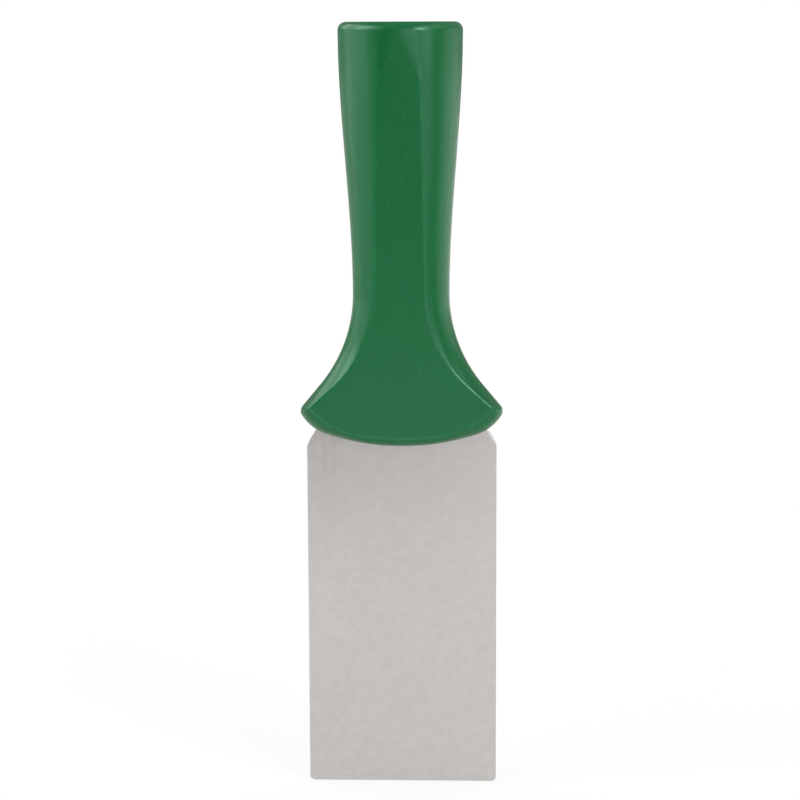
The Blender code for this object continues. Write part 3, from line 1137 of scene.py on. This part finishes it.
class Nodes:
    """Adds and joins the nodes of one node tree."""

    def __init__(self, tree: bpy.types.NodeTree) -> None:
        """Keep the tree that the nodes go into."""
        self.tree = tree

    def add(self, kind: str, settings: dict | None = None, **values: object) -> bpy.types.Node:
        """Add a node.

        Args:
            kind: Blender's name for the node's type.
            settings: Properties of the node itself.
            **values: Sockets by name, with spaces as underscores: a value, a signal or a socket to join.

        Returns:
            The node.
        """
        node = self.tree.nodes.new(kind)
        for name, value in (settings or {}).items():
            setattr(node, name, value)
        for name, value in values.items():
            self.join(node.inputs[name.replace("_", " ")], value)
        return node

    def join(self, socket: bpy.types.NodeSocket, value: object) -> None:
        """Set a socket to a value, or join a signal or another socket to it.

        Args:
            socket: Input of a node.
            value: A plain value, a signal or an output of a node.
        """
        if isinstance(value, Signal):
            value = value.socket
        if isinstance(value, bpy.types.NodeSocket):
            self.tree.links.new(value, socket)
        else:
            socket.default_value = value

    def math(self, operation: str, first: object, second: object) -> Signal:
        """Return the result of a sum on two values.

        Args:
            operation: Blender's name for the operation.
            first: A number or a signal.
            second: A number or a signal.

        Returns:
            The result.
        """
        node = self.add("ShaderNodeMath", {"operation": operation})
        self.join(node.inputs[0], first)
        self.join(node.inputs[1], second)
        return Signal(self, node.outputs[0])

    def remap(self, value: Signal, low: object, high: object, to_low: float = 0.0,
              to_high: float = 1.0, smooth: bool = True) -> Signal:
        """Return a value mapped from one range to another, held at its ends.

        Args:
            value: Signal to map.
            low: Lower end of the range it comes from.
            high: Upper end of the range it comes from.
            to_low: What the lower end becomes.
            to_high: What the upper end becomes.
            smooth: Whether the ends are soft.

        Returns:
            The mapped signal.
        """
        node = self.add("ShaderNodeMapRange", {"interpolation_type": "SMOOTHSTEP" if smooth else "LINEAR"},
                        Value=value, From_Min=low, From_Max=high, To_Min=to_low, To_Max=to_high)
        return Signal(self, node.outputs["Result"])

    def mix_color(self, share: Signal, first: object, second: object) -> bpy.types.NodeSocket:
        """Return a mix of two colours.

        Args:
            share: How much of the second colour.
            first: A colour or a socket.
            second: A colour or a socket.

        Returns:
            The mixed colour's socket.
        """
        node = self.add("ShaderNodeMix", {"data_type": "RGBA"})
        self.join(node.inputs[0], share)
        self.join(node.inputs[6], first)
        self.join(node.inputs[7], second)
        return node.outputs[2]

    def coordinates(self, kind: str = "Object") -> bpy.types.NodeSocket:
        """Return coordinates of a kind, the piece's own where none is named."""
        return self.add("ShaderNodeTexCoord").outputs[kind]

    def axis(self, coordinates: bpy.types.NodeSocket, letter: str) -> Signal:
        """Return one coordinate, by the letter of its axis."""
        return Signal(self, self.add("ShaderNodeSeparateXYZ", {}, Vector=coordinates).outputs[letter])

    def distance(self, coordinates: bpy.types.NodeSocket, middle: tuple[float, float, float]) -> Signal:
        """Return the distance of a place from a point.

        Args:
            coordinates: Socket of the place.
            middle: The point.

        Returns:
            The distance.
        """
        node = self.add("ShaderNodeVectorMath", {"operation": "DISTANCE"})
        self.join(node.inputs[0], coordinates)
        self.join(node.inputs[1], middle)
        return Signal(self, node.outputs["Value"])

    def stretched(self, coordinates: object, scale: tuple[float, float, float],
                  turn: tuple[float, float, float] = (0.0, 0.0, 0.0)) -> bpy.types.NodeSocket:
        """Return coordinates that are turned, in radians, and stretched by a factor along each axis."""
        node = self.add("ShaderNodeMapping", {}, Vector=coordinates, Scale=scale, Rotation=turn)
        return node.outputs["Vector"]

    def noise(self, coordinates: object, scale: object, detail: float = 2.0,
              roughness: float = 0.5) -> Signal:
        """Return an even noise between 0 and 1.

        Args:
            coordinates: Where the noise is read.
            scale: Number of patches in a metre.
            detail: Number of finer layers.
            roughness: Strength of the finer layers.

        Returns:
            The noise.
        """
        node = self.add("ShaderNodeTexNoise", {}, Vector=coordinates, Scale=scale, Detail=detail,
                        Roughness=roughness)
        return Signal(self, node.outputs["Fac"])

    def mask(self, mask: Mask) -> Signal:
        """Return a mask that the mesh carries."""
        return Signal(self, self.add("ShaderNodeAttribute", {"attribute_name": mask.value}).outputs["Fac"])

    def effect(self, tree: bpy.types.NodeTree, **values: object) -> Signal:
        """Return the mask of a shared effect, given its sockets by name with spaces as underscores."""
        return Signal(self, self.add("ShaderNodeGroup", {"node_tree": tree}, **values).outputs["Mask"])

    def rays(self) -> tuple[Signal, Signal]:
        """Tell what a ray is for.

        Returns:
            Whether the camera sees the ray, directly or through a piece, and whether it is mirrored.
        """
        path = self.add("ShaderNodeLightPath")
        seen = Signal(self, path.outputs["Is Camera Ray"]).or_more(path.outputs["Is Transmission Ray"])
        return seen, Signal(self, path.outputs["Is Glossy Ray"])


class SharedEffects:
    """Node groups that more than one finish uses, each built once."""

    cloud_detail = 3.0
    cloud_roughness = 0.55
    scratch_leans = ((0.35, 0.018), (-1.1, 0.03), (1.35, 0.022))
    scratch_line_detail = 0.0
    scratch_softness = 0.06
    scratch_places_detail = 1.0
    scratch_places_share = 0.09
    scratch_places_range = (0.5, 0.62)
    wear_detail = 4.0
    wear_roughness = 0.6
    wear_range = (0.35, 0.7)
    least_wear = 0.35

    @classmethod
    def group(cls, name: str, inputs: list[str], draw: Callable[..., Signal]) -> bpy.types.NodeTree:
        """Return a node group, drawn where there is none of its name yet.

        Args:
            name: Name of the group.
            inputs: Names of the inputs: the coordinates, and numbers.
            draw: Makes the mask from the nodes' maker and a signal for each input.

        Returns:
            The group.
        """
        if name in bpy.data.node_groups:
            return bpy.data.node_groups[name]
        tree = bpy.data.node_groups.new(name, "ShaderNodeTree")
        for socket_name in inputs:
            kind = "NodeSocketVector" if socket_name == "Coordinates" else "NodeSocketFloat"
            tree.interface.new_socket(name=socket_name, in_out="INPUT", socket_type=kind)
        tree.interface.new_socket(name="Mask", in_out="OUTPUT", socket_type="NodeSocketFloat")
        nodes = Nodes(tree)
        given = nodes.add("NodeGroupInput")
        mask = draw(nodes, *(Signal(nodes, given.outputs[socket_name]) for socket_name in inputs))
        nodes.add("NodeGroupOutput", {}, Mask=mask)
        return tree

    @classmethod
    def mottle(cls) -> bpy.types.NodeTree:
        """Return the group for soft cloudy variation, with patches of a given size."""
        inputs = ["Coordinates", "Patches per metre", "Contrast"]
        return cls.group("cloudy_variation", inputs, cls.draw_mottle)

    @classmethod
    def scratches(cls) -> bpy.types.NodeTree:
        """Return the group for sparse fine scratches in three directions."""
        inputs = ["Coordinates", "Lines per metre", "Sparseness"]
        return cls.group("fine_scratches", inputs, cls.draw_scratches)

    @classmethod
    def edge_wear(cls) -> bpy.types.NodeTree:
        """Return the group for edges that are rubbed unevenly, from the mesh's own edge mask, which on the
        handle also holds painted highlights.
        """
        inputs = ["Edge", "Coordinates", "Breaks per metre", "Amount"]
        return cls.group("edge_wear", inputs, cls.draw_edge_wear)

    @classmethod
    def draw_mottle(cls, nodes: Nodes, place: Signal, patches: Signal, contrast: Signal) -> Signal:
        """Draw soft clouds.

        Args:
            nodes: The group's nodes' maker.
            place: Coordinates.
            patches: Number of clouds in a metre.
            contrast: How far the clouds stand out, from 0 to 1.

        Returns:
            The mask.
        """
        broad = nodes.noise(place, patches, cls.cloud_detail, cls.cloud_roughness)
        half_contrast = contrast / 2
        return nodes.remap(broad, half_contrast, 1.0 - half_contrast)

    @classmethod
    def draw_scratches(cls, nodes: Nodes, place: Signal, lines: Signal, sparseness: Signal) -> Signal:
        """Draw short thin lines, a few here and there.

        Args:
            nodes: The group's nodes' maker.
            place: Coordinates.
            lines: Number of lines in a metre where they are thickest.
            sparseness: Share of the surface that stays free of them.

        Returns:
            The mask.
        """
        found = None
        for turn, stretch in cls.scratch_leans:
            laid = nodes.stretched(place, (1.0, 1.0, stretch), (0.0, turn, 0.0))
            thin = nodes.noise(laid, lines, cls.scratch_line_detail)
            fine = nodes.remap(thin, sparseness, sparseness + cls.scratch_softness)
            places = nodes.noise(laid, lines * cls.scratch_places_share, cls.scratch_places_detail)
            one_way = fine * nodes.remap(places, *cls.scratch_places_range)
            found = found.or_more(one_way) if found else one_way
        return found

    @classmethod
    def draw_edge_wear(cls, nodes: Nodes, edge: Signal, place: Signal, breaks: Signal,
                       amount: Signal) -> Signal:
        """Draw an edge mask as wear, and on the handle as painted highlight, that comes and goes so often in
        a metre, by an amount from 0 to 1.
        """
        broken = nodes.noise(place, breaks, cls.wear_detail, cls.wear_roughness)
        return edge * nodes.remap(broken, *cls.wear_range, cls.least_wear, 1.0) * amount


@dataclass(frozen=True)
class Finish:
    """What every finish shares: its name, its wear and scratches, and how it starts a material."""

    name: str
    wear_per_metre: float
    wear_amount: float
    scratches_per_metre: float
    scratch_sparseness: float
    relief: float
    relief_strength: float = 0.5

    def start(self) -> tuple[bpy.types.Material, Nodes, bpy.types.Node]:
        """Start a material with its shader.

        Returns:
            The material, its nodes' maker and its Principled BSDF.
        """
        material = bpy.data.materials.new(self.name)
        material.use_nodes = True
        material.node_tree.nodes.clear()
        nodes = Nodes(material.node_tree)
        shader = nodes.add("ShaderNodeBsdfPrincipled")
        nodes.add("ShaderNodeOutputMaterial", {}, Surface=shader.outputs["BSDF"])
        return material, nodes, shader

    @staticmethod
    def clouds(nodes: Nodes, place: object, per_metre: float, contrast: float) -> Signal:
        """Return a cloudy mask, with its number of clouds in a metre and its contrast."""
        return nodes.effect(SharedEffects.mottle(), Coordinates=place, Patches_per_metre=per_metre,
                            Contrast=contrast)

    def wear(self, nodes: Nodes, place: object) -> Signal:
        """Return where the edges are rubbed, and on the handle where highlights are painted along them."""
        return nodes.effect(SharedEffects.edge_wear(), Edge=nodes.mask(Mask.WORN_EDGE), Coordinates=place,
                            Breaks_per_metre=self.wear_per_metre, Amount=self.wear_amount)

    def scratches(self, nodes: Nodes, place: object) -> Signal:
        """Return where the fine scratches are."""
        return nodes.effect(SharedEffects.scratches(), Coordinates=place,
                            Lines_per_metre=self.scratches_per_metre, Sparseness=self.scratch_sparseness)

    def emboss(self, nodes: Nodes, shader: bpy.types.Node, height: Signal) -> None:
        """Give the surface its fine relief.

        Args:
            nodes: The material's nodes' maker.
            shader: The material's shader.
            height: Relief, as a share of the finish's full relief.
        """
        bump = nodes.add("ShaderNodeBump", {}, Height=height, Strength=self.relief_strength,
                         Distance=self.relief)
        nodes.join(shader.inputs["Normal"], bump.outputs["Normal"])


@dataclass(frozen=True)
class MouldedPlastic(Finish):
    """Green polypropylene from a finely textured mould, rubbed a little along its edges, with painted
    highlights lightening its creases and round end.
    """

    name: str = "moulded_green_plastic"
    wear_per_metre: float = 380.0
    wear_amount: float = 0.5
    scratches_per_metre: float = 1700.0
    scratch_sparseness: float = 0.74
    relief: float = 0.0002

    color: tuple[float, float, float] = (0.0050, 0.1065, 0.0305)
    flow_color: tuple[float, float, float] = (0.0060, 0.1105, 0.0325)
    # Lighter green of rubbed edges, made light enough to paint the creases' highlights too.
    worn_and_highlight_color: tuple[float, float, float] = (0.03, 0.18, 0.075)
    sheen_tint: tuple[float, float, float] = (0.6, 1.0, 0.8)
    specular_level: float = 0.5
    refraction: float = 1.5
    flow_per_metre: float = 60.0
    flow_stretch: float = 0.4
    flow_contrast: float = 0.45
    gloss_per_metre: float = 210.0
    gloss_contrast: float = 0.5
    smooth_roughness: float = 0.235
    matt_roughness: float = 0.275
    worn_polish: float = 0.1
    scratch_paleness: float = 0.016
    scratch_roughness: float = 0.02
    scratch_depth: float = 0.004
    texture_per_metre: float = 5200.0
    texture_roughness: float = 0.6
    texture_height: float = 0.012
    ripple_per_metre: float = 85.0
    ripple_detail: float = 1.0
    ripple_height: float = 0.35
    top: float = 0.204
    rim_band: float = 0.0005
    rim_full_band: float = 0.0002
    rim_roughness: float = 0.6

    def build(self) -> bpy.types.Material:
        """Build the plastic: a faint flow pattern, a fine texture, rubbed edges that also carry painted
        highlights, and a matt rim.

        Returns:
            The material.
        """
        material, nodes, shader = self.start()
        place = nodes.coordinates()
        along_flow = nodes.stretched(place, (1.0, 1.0, self.flow_stretch))
        flow = self.clouds(nodes, along_flow, self.flow_per_metre, self.flow_contrast)
        gloss = self.clouds(nodes, place, self.gloss_per_metre, self.gloss_contrast)
        worn = self.wear(nodes, place)
        scratched = self.scratches(nodes, place)
        body = nodes.mix_color(flow, (*self.color, 1.0), (*self.flow_color, 1.0))
        # Painted highlight as well as wear: the creases and the round end are mixed towards the lighter
        # green.
        rubbed = nodes.mix_color(worn, body, (*self.worn_and_highlight_color, 1.0))
        marked = nodes.mix_color(scratched * self.scratch_paleness, rubbed, (*self.worn_and_highlight_color, 1.0))
        nodes.join(shader.inputs["Base Color"], marked)
        rough = nodes.remap(gloss, 0.0, 1.0, self.smooth_roughness, self.matt_roughness, smooth=False)
        rough = rough + scratched * self.scratch_roughness - worn * self.worn_polish
        rim = nodes.remap(nodes.axis(place, "Z"), self.top - self.rim_band, self.top - self.rim_full_band)
        nodes.join(shader.inputs["Roughness"], rim.between(rough, self.rim_roughness))
        shader.inputs["IOR"].default_value = self.refraction
        shader.inputs["Specular IOR Level"].default_value = self.specular_level
        shader.inputs["Specular Tint"].default_value = (*self.sheen_tint, 1.0)
        texture = nodes.noise(place, self.texture_per_metre, roughness=self.texture_roughness)
        ripple = nodes.noise(place, self.ripple_per_metre, self.ripple_detail)
        height = texture * self.texture_height + ripple * self.ripple_height
        self.emboss(nodes, shader, height - scratched * self.scratch_depth)
        return material


@dataclass(frozen=True)
class SatinSteel(Finish):
    """Stainless sheet with a fine satin grain up the blade, ground bright along its working edge."""

    name: str = "satin_stainless_steel"
    wear_per_metre: float = 500.0
    wear_amount: float = 0.9
    scratches_per_metre: float = 2100.0
    scratch_sparseness: float = 0.73
    relief: float = 0.00005

    color: tuple[float, float, float] = (0.690, 0.658, 0.633)
    cloud_color: tuple[float, float, float] = (0.695, 0.664, 0.638)
    bright_color: tuple[float, float, float] = (0.76, 0.74, 0.72)
    clouds_per_metre: float = 16.0
    cloud_stretch: float = 0.7
    cloud_contrast: float = 0.3
    grain_per_metre: float = 7000.0
    grain_stretch: float = 0.012
    grain_detail: float = 3.0
    grain_roughness: float = 0.65
    grain_range: tuple[float, float] = (0.3, 0.7)
    grain_paleness: float = 0.1
    grain_height: float = 0.1
    grains_in_streak: float = 9.0
    smooth_roughness: float = 0.3
    matt_roughness: float = 0.36
    ground_roughness: float = 0.24
    ground_stretch: float = 0.02
    ground_height: float = 0.15
    scratch_roughness: float = 0.05
    scratch_depth: float = 0.06

    def build(self) -> bpy.types.Material:
        """Build the steel: a satin grain, faint clouds, fine scratches and a bright ground edge.

        Returns:
            The material.
        """
        material, nodes, shader = self.start()
        place = nodes.coordinates()
        up_the_blade = nodes.stretched(place, (1.0, 1.0, self.grain_stretch))
        grain = nodes.noise(up_the_blade, self.grain_per_metre, self.grain_detail, self.grain_roughness)
        streaks = nodes.noise(up_the_blade, self.grain_per_metre / self.grains_in_streak)
        cloud_place = nodes.stretched(place, (1.0, 1.0, self.cloud_stretch))
        clouds = self.clouds(nodes, cloud_place, self.clouds_per_metre, self.cloud_contrast)
        worn = self.wear(nodes, place)
        scratched = self.scratches(nodes, place)
        ground = nodes.mask(Mask.GROUND)
        marks = nodes.noise(nodes.stretched(place, (self.ground_stretch, 1.0, 1.0)), self.grain_per_metre)
        body = nodes.mix_color(clouds, (*self.color, 1.0), (*self.cloud_color, 1.0))
        pale = nodes.remap(grain, *self.grain_range, 0.0, self.grain_paleness, smooth=False)
        lined = nodes.mix_color(pale, body, (*self.bright_color, 1.0))
        bright = nodes.mix_color(worn.or_more(ground), lined, (*self.bright_color, 1.0))
        nodes.join(shader.inputs["Base Color"], bright)
        rough = nodes.remap(streaks, *self.grain_range, self.smooth_roughness, self.matt_roughness,
                            smooth=False)
        rough = rough + scratched * self.scratch_roughness
        nodes.join(shader.inputs["Roughness"], ground.between(rough, self.ground_roughness))
        shader.inputs["Metallic"].default_value = 1.0
        height = grain * self.grain_height + marks * ground * self.ground_height
        self.emboss(nodes, shader, height - scratched * self.scratch_depth)
        return material


@dataclass(frozen=True)
class SoftBox:
    """A soft rectangular lamp that looks at the scraper, with its spread in degrees as seen from there."""

    name: str
    azimuth: float
    elevation: float
    spread_across: float
    spread_up: float
    radiance: float
    gleams: bool = True
    aim_height: float = 0.14
    distance: float = 1.0

    def build(self) -> None:
        """Add the lamp."""
        turn, lift = math.radians(self.azimuth), math.radians(self.elevation)
        towards = Vector((math.sin(turn) * math.cos(lift), -math.cos(turn) * math.cos(lift), math.sin(lift)))
        lamp = bpy.data.lights.new(self.name, "AREA")
        lamp.shape = "RECTANGLE"
        lamp.size = 2 * self.distance * math.tan(math.radians(self.spread_across / 2)) * math.cos(lift)
        lamp.size_y = 2 * self.distance * math.tan(math.radians(self.spread_up / 2))
        lamp.energy = self.radiance * math.pi * lamp.size * lamp.size_y
        item = link_object(self.name, lamp)
        facing = (-towards).to_track_quat("-Z", "Y").to_matrix().to_4x4()
        aim = Vector((0.0, 0.0, self.aim_height))
        item.matrix_world = Matrix.Translation(aim + self.distance * towards) @ facing
        item.visible_camera = False
        item.visible_glossy = self.gleams


@dataclass(frozen=True)
class GlowPool:
    """A round patch of the floor that looks brighter in reflections."""

    middle: tuple[float, float, float]
    core: float
    reach: float
    gain: float

    def glow(self, nodes: Nodes, place: bpy.types.NodeSocket) -> Signal:
        """Return the patch's glow at a place of the floor."""
        return nodes.remap(nodes.distance(place, self.middle), self.core, self.reach, self.gain, 0.0)


@dataclass(frozen=True)
class Studio:
    """The pale floor, the white surround and the soft lamps."""

    floor_half_size: float = 3.0
    floor_drop: float = 0.0001
    floor_color: tuple[float, float, float] = (0.86, 0.86, 0.86)
    near_glow_share: float = 0.8
    glow_near: float = 0.15
    glow_far: float = 0.6
    mirror_near: float = 0.15
    mirror_wide: float = 0.32
    mirror_dim: float = 0.68
    mirror_front: float = 0.95
    mirror_left: float = 0.55
    mirror_right: float = 0.3
    mirror_right_back: float = 0.85
    mirror_turn: float = 0.1
    left_front_turn: tuple[float, float] = (0.0, 0.5)
    right_front_turn: tuple[float, float] = (0.7, 0.93)
    right_back_turn: tuple[float, float] = (-0.15, 0.25)
    front_fade: tuple[float, float] = (0.42, 0.52)
    front_turn: tuple[float, float] = (0.5, 0.85)
    side_pool: GlowPool = GlowPool(middle=(-0.14, -0.16, 0.0), core=0.03, reach=0.12, gain=1.05)
    far_pool: GlowPool = GlowPool(middle=(0.66, -0.72, 0.0), core=0.2, reach=0.45, gain=1.6)
    world_diffuse: float = 0.13
    world_sides: float = 0.25
    world_front: float = 0.0
    world_turn: tuple[float, float] = (0.2, 0.8)
    lamps: tuple[SoftBox, ...] = (
        SoftBox("left_low_box", azimuth=-90, elevation=2, spread_across=60, spread_up=20, radiance=1.0),
        SoftBox("left_wide_box", azimuth=-85, elevation=33, spread_across=105, spread_up=40, radiance=1.75),
        SoftBox("left_core_box", azimuth=-75, elevation=28, spread_across=32, spread_up=36, radiance=3.0),
        SoftBox("right_main_box", azimuth=44, elevation=24, spread_across=28, spread_up=34, radiance=3.6),
        SoftBox("right_core_box", azimuth=38, elevation=18, spread_across=14, spread_up=10, radiance=13.0),
        SoftBox("right_low_box", azimuth=54, elevation=2, spread_across=18, spread_up=8, radiance=1.8),
        SoftBox("right_upper_box", azimuth=75, elevation=39, spread_across=50, spread_up=38, radiance=0.85),
        SoftBox("front_low_box", azimuth=15, elevation=2, spread_across=30, spread_up=20, radiance=1.8),
        SoftBox("right_fill_box", azimuth=110, elevation=2, spread_across=45, spread_up=20, radiance=0.55),
        SoftBox("back_left_box", azimuth=-140, elevation=20, spread_across=50, spread_up=50, radiance=1.6,
                gleams=False),
        SoftBox("back_right_box", azimuth=130, elevation=20, spread_across=60, spread_up=50, radiance=2.2,
                gleams=False),
    )

    def build(self) -> None:
        """Add everything round the scraper."""
        self.add_floor()
        self.add_world()
        for lamp in self.lamps:
            lamp.build()

    def add_floor(self) -> None:
        """Add the floor, which looks white, keeps the scraper's shadow and fades out of far reflections."""
        mesh_data = bmesh.new()
        bmesh.ops.create_grid(mesh_data, x_segments=1, y_segments=1, size=self.floor_half_size)
        floor = mesh_object("floor", mesh_data)
        floor.location.z = -self.floor_drop
        floor.data.materials.append(self.floor_material())

    def mirrored_floor(self, nodes: Nodes, place: bpy.types.NodeSocket, reach: Signal) -> Signal:
        """Return how bright the floor looks in reflections.

        Far from the scraper each side has its own brightness, and the front a third one that ends in the
        dark room ahead. Two bright pools lie on top.

        Args:
            nodes: The material's nodes' maker.
            place: Coordinates on the floor.
            reach: Distance from the scraper.

        Returns:
            The brightness.
        """
        frontwards = nodes.axis(place, "Y") * -1.0 / reach
        on_right = nodes.remap(nodes.axis(place, "X"), -self.mirror_turn, self.mirror_turn)
        right = nodes.remap(frontwards, *self.right_back_turn, self.mirror_right_back, self.mirror_right)
        aside = on_right.between(self.mirror_left, right)
        left_ahead = nodes.remap(frontwards, *self.left_front_turn)
        right_ahead = nodes.remap(frontwards, *self.right_front_turn)
        bright = on_right.between(left_ahead, right_ahead).between(aside, self.mirror_front)
        away = nodes.remap(reach, self.mirror_near, self.mirror_wide)
        gone = nodes.remap(frontwards, *self.front_turn) * nodes.remap(reach, *self.front_fade)
        pools = self.side_pool.glow(nodes, place) + self.far_pool.glow(nodes, place)
        return away.between(self.mirror_dim, bright) * (1.0 - gone) + pools

    def floor_material(self) -> bpy.types.Material:
        """Build the floor's material, with its own look for the camera, the light and reflections.

        Returns:
            The material.
        """
        material = bpy.data.materials.new("pale_floor")
        material.use_nodes = True
        material.node_tree.nodes.clear()
        nodes = Nodes(material.node_tree)
        place = nodes.coordinates()
        reach = nodes.distance(place, (0.0, 0.0, 0.0))
        seen, mirrored = nodes.rays()
        paper = nodes.add("ShaderNodeBsdfDiffuse", {}, Color=(*self.floor_color, 1.0))
        strength = mirrored * self.mirrored_floor(nodes, place, reach) + seen
        glow = nodes.add("ShaderNodeEmission", {}, Color=WHITE, Strength=strength)
        glow_share = nodes.remap(reach, self.glow_near, self.glow_far, self.near_glow_share, 1.0)
        mix = nodes.add("ShaderNodeMixShader")
        nodes.join(mix.inputs[0], seen.or_more(mirrored) * glow_share)
        nodes.join(mix.inputs[1], paper.outputs[0])
        nodes.join(mix.inputs[2], glow.outputs[0])
        nodes.add("ShaderNodeOutputMaterial", {}, Surface=mix.outputs[0])
        return material

    def add_world(self) -> None:
        """Add a plain pale world: white to the camera, and dimmer in reflections of the room in front."""
        world = bpy.data.worlds.new("white_surround")
        world.use_nodes = True
        world.node_tree.nodes.clear()
        nodes = Nodes(world.node_tree)
        towards_front = nodes.axis(nodes.coordinates("Generated"), "Y") * -1.0
        room = nodes.remap(towards_front, *self.world_turn, self.world_sides, self.world_front)
        seen, mirrored = nodes.rays()
        scattered = 1.0 - seen.or_more(mirrored)
        strength = seen + mirrored * room + scattered * self.world_diffuse
        white = nodes.add("ShaderNodeBackground", {}, Color=WHITE, Strength=strength)
        nodes.add("ShaderNodeOutputWorld", {}, Surface=white.outputs[0])
        bpy.context.scene.world = world


@dataclass(frozen=True)
class PhotoCamera:
    """The camera at the photograph's place, fitted to its outline."""

    distance: float = 0.619645
    level: float = 0.202364
    azimuth: float = math.radians(2.2)
    elevation: float = math.radians(8.95)
    roll: float = math.radians(0.218)
    focal_pixels: float = 2361.651
    middle_pixel: float = 401.576
    image_pixels: float = 800.0
    sensor_width: float = 36.0
    clip_start: float = 0.01

    def build(self) -> None:
        """Add the camera and make it the scene's."""
        sine, cosine = math.sin(self.azimuth), math.cos(self.azimuth)
        down, ahead = math.sin(self.elevation), math.cos(self.elevation)
        place = Vector((self.distance * sine, -self.distance * cosine, self.level))
        level_right = Vector((cosine, sine, 0))
        forward = Vector((-sine * ahead, cosine * ahead, -down))
        level_up = level_right.cross(forward)
        right = level_right * math.cos(self.roll) - level_up * math.sin(self.roll)
        up = level_up * math.cos(self.roll) + level_right * math.sin(self.roll)
        lens = bpy.data.cameras.new("photo_camera")
        lens.sensor_width = self.sensor_width
        lens.lens = self.sensor_width * self.focal_pixels / self.image_pixels
        lens.shift_x = (self.image_pixels / 2 - self.middle_pixel) / self.image_pixels
        lens.clip_start = self.clip_start
        camera = link_object("photo_camera", lens)
        axes = Matrix((right, up, -forward)).transposed().to_4x4()
        camera.matrix_world = Matrix.Translation(place) @ axes
        bpy.context.scene.camera = camera


def main() -> None:
    """Build the scraper, the studio and the camera."""
    bpy.context.scene.view_settings.view_transform = "Standard"
    PhotoCamera().build()
    handle_maker = Handle()
    blade_maker = Blade(handle_maker)
    handle = handle_maker.build(blade_maker.pocket_cutter())
    handle_maker.dress(handle)
    log.info("%s: %d faces", handle.name, len(handle.data.polygons))
    blade = blade_maker.build()
    blade_maker.dress(blade)
    log.info("%s: %d faces", blade.name, len(blade.data.polygons))
    Studio().build()


if __name__ == "__main__":
    main()
